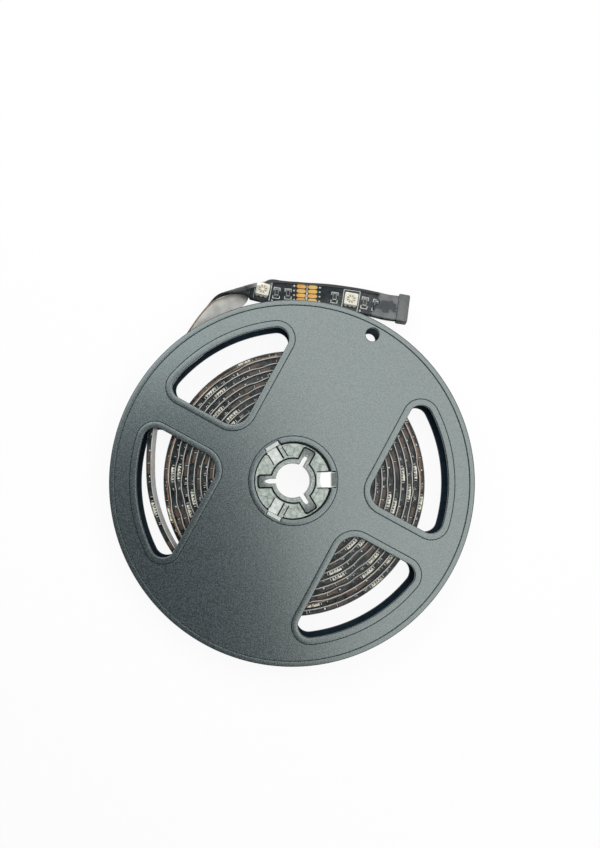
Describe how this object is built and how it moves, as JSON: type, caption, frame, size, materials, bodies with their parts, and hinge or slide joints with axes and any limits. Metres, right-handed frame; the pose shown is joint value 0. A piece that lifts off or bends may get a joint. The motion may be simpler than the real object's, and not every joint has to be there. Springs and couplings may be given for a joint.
{
  "type": "led strip light reel",
  "caption": "Flat reel of clear-coated LED strip light, wound between two windowed plastic side plates on a keyed clear hub, its free end twisted flat and capped.",
  "frame": {"origin": "under the middle of the whole part's box, on the surface that the reel lies on; the reel's own axis stands 4.9 mm towards -Y of it, because the loose end reaches past the plates on the +Y side", "axes": "+Z along the reel's axis, from the rear plate to the front plate; +Y towards the loose end of the strip"},
  "size_m": [0.132, 0.1418, 0.0138],
  "materials": {
    "black_plastic": "satin",
    "clear_plastic": "satin",
    "coated_strip": "gloss",
    "light_package": "satin",
    "resistor": "satin",
    "cap_plastic": "satin"
  },
  "bodies": {
    "root": {"front_flange": "black_plastic", "rear_flange": "black_plastic", "hub": "clear_plastic", "led_strip": "coated_strip", "end_cap": "cap_plastic", "led_1": "light_package", "led_2": "light_package", "resistor_1": "resistor", "resistor_2": "resistor", "resistor_3": "resistor", "resistor_4": "resistor", "resistor_5": "resistor", "resistor_6": "resistor"}
  },
  "joints": []
}
